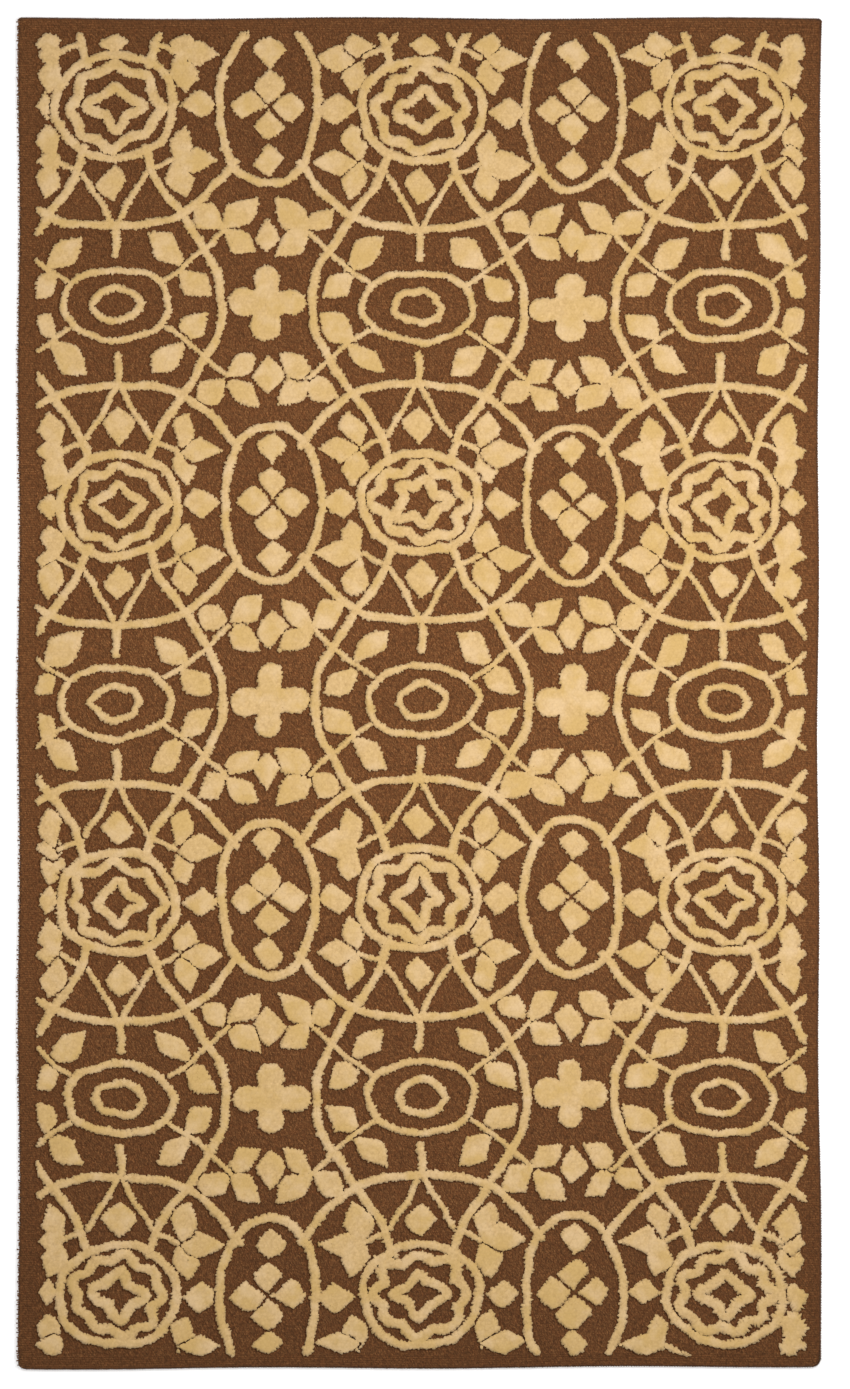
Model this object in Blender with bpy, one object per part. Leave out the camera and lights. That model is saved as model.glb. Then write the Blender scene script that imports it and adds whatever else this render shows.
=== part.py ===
"""A hooked rug: one flat piled cloth with a raised trellis of rosettes, ovals, leaves and crosses.

The rug lies flat on the floor with its underside at z = 0, its width along X and its length along Y.
Its ground is a short pile that leans out over the turned edge of the cloth. The drawing is a longer
pile that stands above the ground. It is one repeat of four motifs, cut off by a plain border.
Every size is in metres.
"""

import math
import random

import bmesh
import bpy
import numpy as np
from mathutils import Vector
from mathutils.geometry import delaunay_2d_cdt

# The cloth
RUG_WIDTH = 0.910
RUG_LENGTH = 1.530
GROUND_TOP = 0.0080
DRAWING_RISE = 0.0035

# The rim, from the edge that lies on the floor to the flat of the ground pile
RIM = (
    # inset   height
    (0.0016,  0.0000),
    (0.0000,  0.0028),
    (0.0005,  0.0060),
    (0.0030,  GROUND_TOP),
)
RIM_STEP = 0.100

# The corners, in turn from the one at +X +Y: their radius and the steps of their arc
CORNERS = (
    # side_x  side_y  radius   steps
    (1,       1,      0.0040,  1),
    (-1,      1,      0.0040,  1),
    (-1,      -1,     0.0090,  3),
    (1,       -1,     0.0110,  3),
)

# How the rug lies out of true: its right side is drawn in, its bottom climbs, and its sides waver
RIGHT_DRAWN_IN = 0.0045
BOTTOM_CLIMB = 0.0030
WAVER = 0.0010

# The drawing's repeat, and the plain border that cuts it off
REPEAT_WIDTH = 0.3420
REPEAT_LENGTH = 0.4470
DRAWING_SHIFT = -0.0088
BORDER = 0.0190
CUT_SLOPE = 0.0015

# How far the hand strays: a slow sway of the lines, each motif's place, and each leaf's size
SWAY = 0.0025
STRAY = 0.0015
LEAF_STRAY = 0.08

# The slow waves of the sides and of the lines, across and along: radians a metre of x, of y, and the start
SIDE_WAVES = ((-6.0, 17.3, 2.1), (15.7, -5.2, 0.4))
LINE_WAVES = ((4.0, 9.1, 0.7), (8.3, 3.1, 1.9))

# The top face: points nearer than MERGE are one point, and a share of the rise under LEAST is none
MERGE = 0.0018
LEAST = 0.06

# Each motif stands on its own lattice of the repeat: its centre, as shares of the repeat
LATTICES = {
    "rosette": (0.0, 0.0),
    "tall_oval": (0.5, 0.0),
    "eye": (0.0, 0.5),
    "cross": (0.5, 0.5),
}

# Closed bands round a motif's centre: half sizes of the middle line, width, lobes and their depth
RINGS = (
    # motif       half_x   half_y   width    lobes  depth  stations
    ("rosette",   0.0674,  0.0544,  0.0100,  0,     0.00,  12),
    ("rosette",   0.0525,  0.0425,  0.0090,  8,     0.05,  16),
    ("rosette",   0.0265,  0.0245,  0.0085,  4,     0.22,  8),
    ("tall_oval", 0.0515,  0.0870,  0.0105,  0,     0.00,  12),
    ("eye",       0.0620,  0.0390,  0.0105,  0,     0.00,  10),
    ("eye",       0.0250,  0.0175,  0.0095,  0,     0.00,  6),
)

# Open bands, in the first quarter of their motif. One that crosses an axis is a single line with its
# mirror image. An end runs into another band, or it is free.
BANDS = (
    # motif     crosses  width    last_end  points from the motif's centre
    ("rosette", "Y",     0.0100,  "joined", ((0.000, 0.134), (0.048, 0.131), (0.080, 0.119),
                                             (0.108, 0.096), (0.135, 0.062))),
    ("rosette", None,    0.0095,  "free",   ((0.000, 0.134), (0.000, 0.170))),
    ("rosette", None,    0.0075,  "joined", ((0.000, 0.134), (0.036, 0.080))),
    ("eye",     "X",     0.0105,  "joined", ((0.120, 0.000), (0.116, 0.032), (0.099, 0.064),
                                             (0.074, 0.103), (0.047, 0.140), (0.034, 0.176))),
)

# Leaves and petals, in the first quarter of their motif: where each starts and ends, and half its width
LEAVES = (
    # motif       root_x   root_y   tip_x    tip_y    half_width
    ("rosette",   0.0000,  0.0650,  0.0000,  0.1060,  0.0200),
    ("rosette",   0.0765,  0.0000,  0.1110,  0.0000,  0.0165),
    ("rosette",   0.0660,  0.0600,  0.0830,  0.1010,  0.0150),
    ("rosette",   0.0660,  0.0600,  0.1150,  0.0590,  0.0130),
    ("rosette",   0.0660,  0.0600,  0.0790,  0.0190,  0.0150),
    ("tall_oval", 0.0000,  0.0420,  0.0000,  0.0770,  0.0175),
    ("tall_oval", 0.0000,  0.0050,  0.0000,  0.0390,  0.0170),
    ("tall_oval", 0.0035,  0.0000,  0.0400,  0.0000,  0.0155),
    ("eye",       0.0760,  0.0410,  0.0390,  0.0770,  0.0140),
    ("eye",       0.0760,  0.0410,  0.1020,  0.0080,  0.0140),
    ("cross",     0.0430,  0.0800,  0.0090,  0.0560,  0.0140),
    ("cross",     0.0430,  0.0800,  0.0150,  0.1140,  0.0145),
    ("cross",     0.0430,  0.0800,  0.0770,  0.1050,  0.0150),
    ("cross",     0.0000,  0.0600,  0.0000,  0.0980,  0.0150),
    ("cross",     0.0000,  0.0000,  0.0430,  0.0000,  0.0150),
    ("cross",     0.0000,  0.0000,  0.0000,  0.0400,  0.0155),
)

WOOL_COLOUR = (0.150, 0.062, 0.024)
WOOL_ROUGHNESS = 0.95


def wool():
    """A matt brown wool."""
    material = bpy.data.materials.new("brown_wool")
    material.use_nodes = True
    shader = material.node_tree.nodes["Principled BSDF"]
    shader.inputs["Base Color"].default_value = (*WOOL_COLOUR, 1.0)
    shader.inputs["Roughness"].default_value = WOOL_ROUGHNESS
    shader.inputs["Metallic"].default_value = 0.0
    return material


def waves(points, turns):
    """How far along its slow wave each point is, across and along the rug, from -1 to 1."""
    return np.stack([np.sin(points @ (over_x, over_y) + start) for over_x, over_y, start in turns], axis=1)


def out_of_true(points):
    """The points of a true rectangle as the finished rug has them."""
    x, y = points[:, 0], points[:, 1]
    right = np.clip(x / RUG_WIDTH + 0.5, 0, 1)
    bottom = np.clip(0.5 - y / RUG_LENGTH, 0, 1)
    drawn_in = RIGHT_DRAWN_IN * (1 - (2 * y / RUG_LENGTH) ** 2) * right
    climbed = BOTTOM_CLIMB * bottom * right
    return points + np.stack([-drawn_in, climbed], axis=1) + WAVER * waves(points, SIDE_WAVES)


def rim(inset):
    """The rug's outline, that far inside its outer edge, with its corners rounded."""
    half = np.array([RUG_WIDTH / 2, RUG_LENGTH / 2]) - inset
    arcs = []
    for quarter, (side_x, side_y, radius, steps) in enumerate(CORNERS):
        within = radius - inset / 2
        turn = (quarter + np.linspace(0, 1, steps + 1)) * math.pi / 2
        arc = within * np.stack([np.cos(turn), np.sin(turn)], axis=1)
        arcs.append(arc + (half - within) * (side_x, side_y))
    points = []
    for arc, following in zip(arcs, arcs[1:] + arcs[:1]):
        side = following[0] - arc[-1]
        stops = round(np.linalg.norm(side) / RIM_STEP)
        points += [*arc, *(arc[-1] + side * stop / stops for stop in range(1, stops))]
    return out_of_true(np.array(points))


def hand(*key):
    """A source of small differences, always the same for the same piece of the drawing."""
    return random.Random(" ".join(map(str, key)))


def motif_centres(motif):
    """The place of each motif of a kind, with its column and row."""
    share_x, share_y = LATTICES[motif]
    for column in range(-2, 3):
        for row in range(-2, 3):
            chooser = hand(motif, column, row)
            x = (column + share_x) * REPEAT_WIDTH + chooser.uniform(-STRAY, STRAY)
            y = (row + 0.5 + share_y) * REPEAT_LENGTH + DRAWING_SHIFT + chooser.uniform(-STRAY, STRAY)
            yield (column, row), (x, y)


def quarters(points):
    """The signs that repeat a line in its motif's four quarters, or in two where it lies on an axis."""
    sides = (1, -1) if np.ptp(points[:, 0]) > 0 or points[0, 0] > 0 else (1,)
    ends = (1, -1) if np.ptp(points[:, 1]) > 0 or points[0, 1] > 0 else (1,)
    return [(side, end) for side in sides for end in ends]


def drawn(points, sign, centre):
    """Points of a motif's first quarter, in the quarter of that sign, with the hand's slow sway."""
    placed = points * sign + centre
    return placed + SWAY * waves(placed, LINE_WAVES)


def offset(line, distance, closed):
    """The line moved sideways, square to the chord between each point's two neighbours."""
    if closed:
        before, after = np.roll(line, 1, axis=0), np.roll(line, -1, axis=0)
    else:
        before, after = line[[0, *range(len(line) - 1)]], line[[*range(1, len(line)), -1]]
    run = after - before
    run /= np.linalg.norm(run, axis=1, keepdims=True)
    return line + distance * np.stack([-run[:, 1], run[:, 0]], axis=1)


def shortened(line, first, last):
    """An open line with its two ends drawn back by those lengths."""
    line = line.copy()
    for end, beside, length in ((0, 1, first), (-1, -2, last)):
        run = line[beside] - line[end]
        line[end] += run * length / np.linalg.norm(run)
    return line


def rings():
    """The middle line and half width of each closed band on the rug."""
    for motif, half_x, half_y, width, lobes, depth, stations in RINGS:
        turn = np.arange(stations) * 2 * math.pi / stations
        swell = 1 + depth * np.cos(lobes * turn)
        line = np.stack([half_x * swell * np.cos(turn), half_y * swell * np.sin(turn)], axis=1)
        for _, centre in motif_centres(motif):
            yield drawn(line, (1, 1), centre), width / 2


def bands():
    """The middle line of each open band on the rug, its half width, and whether its last end is free."""
    for motif, crosses, width, last_end, quarter in BANDS:
        line = np.array(quarter)
        signs = quarters(line)
        if crosses == "Y":
            line = np.vstack([(line * (-1, 1))[:0:-1], line])
            signs = [(1, 1), (1, -1)]
        elif crosses == "X":
            line = np.vstack([(line * (1, -1))[:0:-1], line])
            signs = [(1, 1), (-1, 1)]
        for _, centre in motif_centres(motif):
            for sign in signs:
                yield drawn(line, sign, centre), width / 2, last_end == "free"


def leaves():
    """The outline of each leaf on the rug: its root, a shoulder, its tip and the other shoulder."""
    for number, (motif, root_x, root_y, tip_x, tip_y, half_width) in enumerate(LEAVES):
        root, tip = np.array([root_x, root_y]), np.array([tip_x, tip_y])
        run = tip - root
        shoulder = np.array([-run[1], run[0]]) * half_width / np.linalg.norm(run)
        middle = root + run / 2
        for cell, centre in motif_centres(motif):
            for sign in quarters(np.array([root, tip])):
                size = 1 + hand(number, cell, sign).uniform(-LEAF_STRAY, LEAF_STRAY)
                corners = np.array([root, middle - shoulder, tip, middle + shoulder])
                yield drawn(root + (corners - root) * size, sign, centre)


def distance_from(points, line):
    """How far each point is from an open line."""
    run = np.diff(line, axis=0)
    along = points[:, None, :] - line[:-1]
    share = np.clip((along * run).sum(axis=2) / (run * run).sum(axis=1), 0, 1)
    return np.linalg.norm(along - share[:, :, None] * run, axis=2).min(axis=1)


def leaf_reach(points, corners):
    """How far out each point is from a leaf's middle: 0 there, and 1 on the leaf's outline."""
    middle = corners.mean(axis=0)
    run = np.roll(corners, -1, axis=0) - corners
    normal = np.stack([run[:, 1], -run[:, 0]], axis=1)
    return (((points - middle) @ normal.T) / ((corners - middle) * normal).sum(axis=1)).max(axis=1)


def border_half():
    """Half the size of the rectangle to which the drawing is cut."""
    return np.array([RUG_WIDTH / 2 - BORDER, RUG_LENGTH / 2 - BORDER])


def clipped(points, closed, half):
    """A line or an outline cut to a rectangle about the origin: its points inside, and its crossings."""
    for axis in (0, 1):
        for side in (1, -1):
            pairs = list(zip(points, points[1:] + (points[:1] if closed else [])))
            kept = [] if closed or not points or side * points[0][axis] > half[axis] else [points[0]]
            for a, b in pairs:
                a_out, b_out = side * a[axis] - half[axis], side * b[axis] - half[axis]
                if (a_out > 0) != (b_out > 0):
                    kept.append(a + (b - a) * a_out / (a_out - b_out))
                if b_out <= 0:
                    kept.append(b)
            points = kept
    return points


class TopFace:
    """The rug's top face: the lines that cross it, and how far they raise its points."""

    def __init__(self, outline):
        self.points = []
        self.edges = []
        self.ridges = []
        self.leaves = []
        self.add(list(outline), True)

    def add(self, line, closed):
        """Put a line into the face."""
        first, count = len(self.points), len(line)
        self.points += line
        self.edges += [(first + i, first + i + 1) for i in range(count - 1)]
        if closed and count > 2:
            self.edges.append((first + count - 1, first))

    def draw(self, line, closed):
        """Put a line of the drawing into the face, cut at the border."""
        self.add(clipped(list(line), closed, border_half() + CUT_SLOPE), closed)

    def draw_ring(self, line, half_width):
        """A closed band: its middle line, and an edge on each side."""
        for distance in (half_width, 0, -half_width):
            self.draw(offset(line, distance, True), True)
        self.ridges.append((np.vstack([line, line[:1]]), half_width))

    def draw_band(self, line, half_width, free):
        """An open band: its edges stop short where it runs into another, and its ridge where it is free."""
        edge = shortened(line, half_width, 0 if free else half_width)
        ridge = shortened(line, 0, half_width if free else 0)
        sides = [offset(edge, half_width, False), offset(edge, -half_width, False)[::-1]]
        self.draw(np.vstack(sides), True)
        self.draw(ridge, False)
        self.ridges.append((ridge, half_width))

    def draw_leaf(self, corners):
        """A leaf: its outline, and its vein from root to tip."""
        self.draw(corners, True)
        self.draw(np.array([corners[0], corners.mean(axis=0), corners[2]]), False)
        self.leaves.append(corners)

    def heights(self, points):
        """The height of each point: a ridge falls away to its edges, and a leaf to its outline."""
        share = np.zeros(len(points))
        for line, half_width in self.ridges:
            share = np.maximum(share, 1 - distance_from(points, line) / half_width)
        for corners in self.leaves:
            share = np.maximum(share, 1 - leaf_reach(points, corners))
        beyond = (np.abs(points) > border_half() + MERGE / 2).any(axis=1)
        return GROUND_TOP + DRAWING_RISE * np.where(beyond | (share < LEAST), 0, share)


def draw_top(outline):
    """The top face inside an outline, with the whole drawing in it."""
    top = TopFace(outline)
    for line, half_width in rings():
        top.draw_ring(line, half_width)
    for line, half_width, free in bands():
        top.draw_band(line, half_width, free)
    for corners in leaves():
        top.draw_leaf(corners)
    top.add(list(border_half() * np.array([(1, 1), (-1, 1), (-1, -1), (1, -1)])), True)
    return top


def fill_top(mesh, outline):
    """Put the drawn top face into the mesh as triangles. Gives its outline's corners, in their order."""
    top = draw_top(outline)
    found, _, faces, sources, _, _ = delaunay_2d_cdt(
        [Vector(point) for point in top.points], top.edges, [], 1, MERGE)
    flat = np.array([tuple(point) for point in found])
    corners = [mesh.verts.new((x, y, z)) for (x, y), z in zip(flat, top.heights(flat))]
    for face in faces:
        mesh.faces.new([corners[i] for i in face])
    placed = {i: corner for corner, source in zip(corners, sources) for i in source}
    return [placed[i] for i in range(len(outline))]


def build_rug():
    """The rug as one closed solid: its top face, and below it the loops of its rim down to the floor."""
    mesh = bmesh.new()
    loop = fill_top(mesh, rim(RIM[-1][0]))
    for inset, height in RIM[-2::-1]:
        lower = [mesh.verts.new((x, y, height)) for x, y in rim(inset)]
        for upper_pair, lower_pair in zip(zip(loop, loop[1:] + loop[:1]), zip(lower, lower[1:] + lower[:1])):
            mesh.faces.new([*upper_pair, *lower_pair[::-1]])
        loop = lower
    mesh.faces.new(loop)
    bmesh.ops.recalc_face_normals(mesh, faces=mesh.faces[:])
    data = bpy.data.meshes.new("rug")
    mesh.to_mesh(data)
    mesh.free()
    data.materials.append(wool())
    outer = rim(0)
    rug = bpy.data.objects.new("rug", data)
    rug.location = (*-(outer.min(axis=0) + outer.max(axis=0)) / 2, 0.0)
    return rug


def main():
    for obj in list(bpy.data.objects):
        bpy.data.objects.remove(obj)
    collection = bpy.data.collections.new("hooked_rug")
    bpy.context.scene.collection.children.link(collection)
    collection.objects.link(build_rug())


main()
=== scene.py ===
# %% [markdown]
# # A hooked rug with a cream trellis on brown
#
# A hooked rug is made on a loosely woven cloth. The maker pulls wool through it from the back, tuft
# beside tuft, in rows. Here a short brown pile is the ground, and a longer cream pile is the drawing:
# a trellis with rosettes, ovals, leaves and crosses, cut off by a plain brown border.
#
# This lesson follows the maker. It draws the pattern as lines, lays a row of tufts along each line,
# fills the ground between with straight rows, and puts the cloth under it all. Everything is in
# metres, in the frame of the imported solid, and the rug lies with its underside at z = 0.

import math
import random

import bpy
import numpy as np
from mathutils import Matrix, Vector


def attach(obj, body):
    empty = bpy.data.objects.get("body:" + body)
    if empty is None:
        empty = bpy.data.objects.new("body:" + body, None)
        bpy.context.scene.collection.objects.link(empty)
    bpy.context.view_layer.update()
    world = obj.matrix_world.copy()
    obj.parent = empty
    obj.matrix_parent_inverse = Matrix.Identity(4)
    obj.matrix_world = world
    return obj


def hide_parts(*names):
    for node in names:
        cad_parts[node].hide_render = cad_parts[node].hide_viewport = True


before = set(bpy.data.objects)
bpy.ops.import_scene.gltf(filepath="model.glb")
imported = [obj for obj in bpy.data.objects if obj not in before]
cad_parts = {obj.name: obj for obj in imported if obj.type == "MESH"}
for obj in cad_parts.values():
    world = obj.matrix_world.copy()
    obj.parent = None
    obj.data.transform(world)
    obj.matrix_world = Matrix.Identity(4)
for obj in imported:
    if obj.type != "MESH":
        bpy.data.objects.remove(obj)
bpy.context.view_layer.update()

# %% [markdown]
# ## The rug's size and outline
#
# The cloth is cut square, but a rug in use is never quite true: one side is drawn in, the bottom edge
# climbs, and the sides waver. Those three movements are one function of a point, so the cloth, the
# rows of tufts and the edge all follow it together.

# %% sizes
RUG_WIDTH = 0.910
RUG_LENGTH = 1.530
RUG_HALF = np.array([RUG_WIDTH, RUG_LENGTH]) / 2
GROUND_TOP = 0.0080
DRAWING_TOP = 0.0115
CORNER_RADII = {(1, 1): 0.0040, (-1, 1): 0.0040, (-1, -1): 0.0090, (1, -1): 0.0110}
RIGHT_DRAWN_IN = 0.0045
BOTTOM_CLIMB = 0.0030
WAVER = 0.0010
SIDE_WAVES = ((-6.0, 17.3, 2.1), (15.7, -5.2, 0.4))
LINE_WAVES = ((4.0, 9.1, 0.7), (8.3, 3.1, 1.9))


def waves(points, turns):
    """How far along its slow wave each point is, across and along the rug: sin(a x + b y + start)."""
    return np.stack([np.sin(points @ (over_x, over_y) + start) for over_x, over_y, start in turns], axis=1)


def out_of_true(points):
    """The points of a true rectangle as the used rug has them: drawn in, climbed and wavering."""
    x, y = points[:, 0], points[:, 1]
    right = np.clip(x / RUG_WIDTH + 0.5, 0, 1)
    bottom = np.clip(0.5 - y / RUG_LENGTH, 0, 1)
    drawn_in = RIGHT_DRAWN_IN * (1 - (2 * y / RUG_LENGTH) ** 2) * right
    climbed = BOTTOM_CLIMB * bottom * right
    return points + np.stack([-drawn_in, climbed], axis=1) + WAVER * waves(points, SIDE_WAVES)


def rounded(points, half, inset=0.0):
    """Points of a rectangle with its corners rounded: near a corner, max(|x|, |y|) becomes the radius."""
    points = points.copy()
    for (side_x, side_y), radius in CORNER_RADII.items():
        radius = radius - inset / 2
        out = points * (side_x, side_y) - (half - radius)
        near = (out > 0).all(axis=1)
        shrink = out[near].max(axis=1) / np.linalg.norm(out[near], axis=1)
        points[near] = (half - radius + out[near] * shrink[:, None]) * (side_x, side_y)
    return points


def outline(inset, step):
    """The rug's edge, that far in, as points about a step apart, anticlockwise from the bottom left."""
    half = RUG_HALF - inset
    across, along = (round(2 * size / step) for size in half)
    u, v = np.linspace(-1, 1, across + 1), np.linspace(-1, 1, along + 1)
    loop = np.concatenate([
        np.stack([u[:-1], np.full(across, -1.0)], axis=1),
        np.stack([np.full(along, 1.0), v[:-1]], axis=1),
        np.stack([u[:0:-1], np.full(across, 1.0)], axis=1),
        np.stack([np.full(along, -1.0), v[:0:-1]], axis=1)])
    return out_of_true(rounded(loop * half, half, inset))


edge = outline(0.0, 0.005)
MIDDLE = (edge.min(axis=0) + edge.max(axis=0)) / 2
print("the outline is", (np.ptp(edge, axis=0) * 1000).round(1), "mm")

# %% [markdown]
# ## The drawing
#
# The pattern is one repeat with four motifs, each on its own lattice: a rosette and a tall oval share
# a row, an eye and a cross share the next. A motif is charted in its first quarter, in metres from its
# centre, and mirrored. The maker drew freehand, so every motif, line and leaf strays a little, always
# in the same way because each has its own seeded source of chance.

# %% the chart
REPEAT_WIDTH = 0.3420
REPEAT_LENGTH = 0.4470
DRAWING_SHIFT = -0.0088
SIDE_BORDER = 0.0192
END_BORDER = 0.0170
SWAY = 0.0025
STRAY = 0.0015
DRAWING_HALF = RUG_HALF - (SIDE_BORDER, END_BORDER)
DRAWING_MIDDLE = np.array([0.0012, -0.0004])

LATTICES = {"rosette": (0.0, 0.0), "tall_oval": (0.5, 0.0), "eye": (0.0, 0.5), "cross": (0.5, 0.5)}

RINGS = (
    # motif      piece      half_x  half_y  width   squareness  few_lobes  many_lobes
    ("rosette", "rosette", 0.0658, 0.0560, 0.0091, 2.15, 0.000, 0.000),
    ("rosette", "rosette", 0.0490, 0.0420, 0.0113, 2.10, 0.020, 0.098),
    ("rosette", "rosette", 0.0230, 0.0214, 0.0108, 2.00, 0.210, 0.050),
    ("tall_oval", "oval",  0.0540, 0.0870, 0.0087, 2.15, 0.000, 0.000),
    ("eye", "oval",        0.0600, 0.0393, 0.0080, 2.30, 0.010, 0.006),
    ("eye", "oval",        0.0256, 0.0182, 0.0082, 2.05, 0.030, 0.025),
)

LINES = (
    # motif, the axis that it crosses, width, points from the motif's centre
    ("rosette", "Y", 0.0084, ((0.000, 0.134), (0.048, 0.131), (0.080, 0.119), (0.108, 0.096),
                              (0.135, 0.062))),
    ("rosette", None, 0.0078, ((0.000, 0.134), (0.001, 0.152), (0.000, 0.168))),
    ("rosette", None, 0.0060, ((0.002, 0.134), (0.017, 0.106), (0.036, 0.076))),
    ("eye", "X", 0.0086, ((0.120, 0.000), (0.116, 0.032), (0.099, 0.064), (0.074, 0.103), (0.047, 0.140),
                          (0.034, 0.176))),
    ("rosette", None, 0.0056, ((0.040, 0.070), (0.053, 0.067), (0.066, 0.060))),
    ("eye", None, 0.0052, ((0.056, 0.027), (0.076, 0.040), (0.100, 0.060), (0.125, 0.083))),
)

LEAVES = (
    # motif      piece     root_x  root_y  tip_x   tip_y   half_width  widest  fullness
    ("rosette", "leaf",    0.0000, 0.0660, 0.0000, 0.1055, 0.0178, 0.47, 0.58),
    ("rosette", "leaf",    0.0735, 0.0000, 0.1130, 0.0000, 0.0160, 0.46, 0.45),
    ("rosette", "leaf",    0.0680, 0.0595, 0.0800, 0.1040, 0.0152, 0.58, 0.60),
    ("rosette", "leaf",    0.0665, 0.0615, 0.1180, 0.0600, 0.0155, 0.44, 0.38),
    ("rosette", "leaf",    0.0690, 0.0630, 0.0790, 0.0200, 0.0146, 0.55, 0.60),
    ("tall_oval", "petal", 0.0000, 0.0430, 0.0000, 0.0790, 0.0168, 0.52, 0.58),
    ("tall_oval", "petal", 0.0000, 0.0034, 0.0000, 0.0400, 0.0173, 0.54, 0.58),
    ("tall_oval", "petal", 0.0034, 0.0000, 0.0410, 0.0000, 0.0164, 0.54, 0.58),
    ("eye", "leaf",        0.0800, 0.0410, 0.0395, 0.0765, 0.0148, 0.56, 0.66),
    ("eye", "leaf",        0.0715, 0.0395, 0.1075, 0.0095, 0.0152, 0.50, 0.62),
    ("cross", "sprig",     0.0485, 0.0845, 0.0105, 0.0550, 0.0146, 0.52, 0.62),
    ("cross", "sprig",     0.0485, 0.0835, 0.0110, 0.1170, 0.0146, 0.52, 0.62),
    ("cross", "sprig",     0.0445, 0.0825, 0.0800, 0.1090, 0.0152, 0.52, 0.62),
    ("cross", "sprig",     0.0000, 0.0590, 0.0000, 0.1010, 0.0160, 0.48, 0.60),
)

CROSS_ARM = ((0.0168, -0.0136), (0.0258, -0.0156), (0.0347, -0.0136), (0.0410, -0.0078), (0.0430, 0.0000),
             (0.0410, 0.0078), (0.0347, 0.0136), (0.0258, 0.0156), (0.0168, 0.0136))


def hand(*key):
    """A source of small differences, always the same for the same piece of the drawing."""
    return random.Random(" ".join(map(str, key)))


def motif_centres(motif):
    """The place of each motif of a kind, with its column and row."""
    share_x, share_y = LATTICES[motif]
    for column in range(-2, 3):
        for row in range(-2, 3):
            chooser = hand(motif, column, row)
            x = (column + share_x) * REPEAT_WIDTH + chooser.uniform(-STRAY, STRAY)
            y = (row + 0.5 + share_y) * REPEAT_LENGTH + DRAWING_SHIFT + chooser.uniform(-STRAY, STRAY)
            if abs(x) < DRAWING_HALF[0] + 0.15 and abs(y) < DRAWING_HALF[1] + 0.19:
                yield (column, row), np.array([x, y])


def within_border(points):
    """How far inside the plain border each point is: the least of its distances to the four sides."""
    return (DRAWING_HALF - np.abs(points - DRAWING_MIDDLE)).min(axis=-1)


def quarters(points):
    """The signs that repeat a line in its motif's four quarters, or in two where it lies on an axis."""
    sides = (1, -1) if np.ptp(points[:, 0]) > 0.002 or points[0, 0] > 0.002 else (1,)
    ends = (1, -1) if np.ptp(points[:, 1]) > 0.002 or points[0, 1] > 0.002 else (1,)
    return [(side, end) for side in sides for end in ends]


def drawn(points, sign, centre):
    """Points of a motif's first quarter, in the quarter of that sign, with the hand's slow sway."""
    placed = points * sign + centre
    return placed + SWAY * waves(placed, LINE_WAVES)


print(len(RINGS), "kinds of ring,", len(LINES), "kinds of line and", len(LEAVES), "kinds of leaf")

# %% [markdown]
# ## Lines a pencil would draw
#
# The chart has few points. A smooth line through them comes from one cubic between each two points,
# and the line is then divided evenly, because tufts stand evenly along a row. A slow wobble, the sum
# of three sine waves with chance starts, takes the machine out of every line.

# %% smooth lines
FINE = 0.0015
FINEST = 0.0007


def evenly(line, step, closed=False):
    """The line again with points an even step apart. A closed line runs back to its first point."""
    if closed:
        line = np.vstack([line, line[:1]])
    run = np.concatenate([[0], np.cumsum(np.linalg.norm(np.diff(line, axis=0), axis=1))])
    stops = np.linspace(0, run[-1], max(2, round(run[-1] / step) + 1))[:-1 if closed else None]
    return np.stack([np.interp(stops, run, line[:, 0]), np.interp(stops, run, line[:, 1])], axis=1)


def smooth(points, closed=False, step=FINE):
    """A smooth line through the points.

    Between two points b and c, with a before and d after, the point at share t is half of
    2b + (c - a)t + (2a - 5b + 4c - d)t^2 + (3b - a - 3c + d)t^3.
    """
    points = np.asarray(points, float)
    if closed:
        more = np.vstack([points[-1:], points, points[:2]])
    else:
        more = np.vstack([2 * points[0] - points[1], points, 2 * points[-1] - points[-2]])
    a, b, c, d = more[:-3], more[1:-2], more[2:-1], more[3:]
    t = np.linspace(0, 1, 14, endpoint=False)[:, None, None]
    curve = (2 * b + (c - a) * t + (2 * a - 5 * b + 4 * c - d) * t**2 + (3 * b - a - 3 * c + d) * t**3) / 2
    curve = curve.transpose(1, 0, 2).reshape(-1, 2)
    return evenly(curve if closed else np.vstack([curve, points[-1:]]), step, closed)


def unit(vectors):
    """The vectors at length one."""
    return vectors / np.maximum(np.linalg.norm(vectors, axis=1, keepdims=True), 1e-9)


def sideways(line, closed):
    """The unit vector to the left of the line at each point, square to the chord of its neighbours."""
    if closed:
        run = np.roll(line, -1, axis=0) - np.roll(line, 1, axis=0)
    else:
        run = np.gradient(line, axis=0)
    run = unit(run)
    return np.stack([-run[:, 1], run[:, 0]], axis=1)


def wobble(count, step, length, chooser):
    """A slow change along a line, from about -1 to 1: three sine waves of about that wave length."""
    along = np.arange(count) * step * 2 * math.pi / length
    return sum(np.sin(along * pace + chooser.uniform(0, 6.28)) for pace in (0.6, 1.0, 1.7)) / 2


def drift_over(points, pace, seed):
    """A slow change over the rug, from about -1 to 1: four sine waves in chance directions."""
    source = np.random.default_rng(seed)
    total = 0
    for _ in range(4):
        turn, start = source.uniform(0, 6.28, 2)
        speed = pace * source.uniform(0.6, 1.6)
        total = total + np.sin(speed * (points @ (math.cos(turn), math.sin(turn))) + start)
    return total / 2.2


print("a smooth line through 5 points has", len(smooth(LINES[0][3])), "fine points")

# %% [markdown]
# ## Strokes and patches
#
# Everything in the drawing is either a stroke, a line with a width, or a patch, a closed outline. The
# rings and the trellis are strokes. Leaves and crosses are patches. A leaf's outline has two sides that
# swell from root to tip, and each side swells by its own amount, as a hand draws it.
#
# At the border the drawing stops. A line tapers out there, and a leaf is pressed together so that it
# still fits. A leaf that would keep less than the share BUD of its size is left out, and so is a line
# that would come no further in than STUB. The tall ovals in the end rows open out beyond the border.

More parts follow.
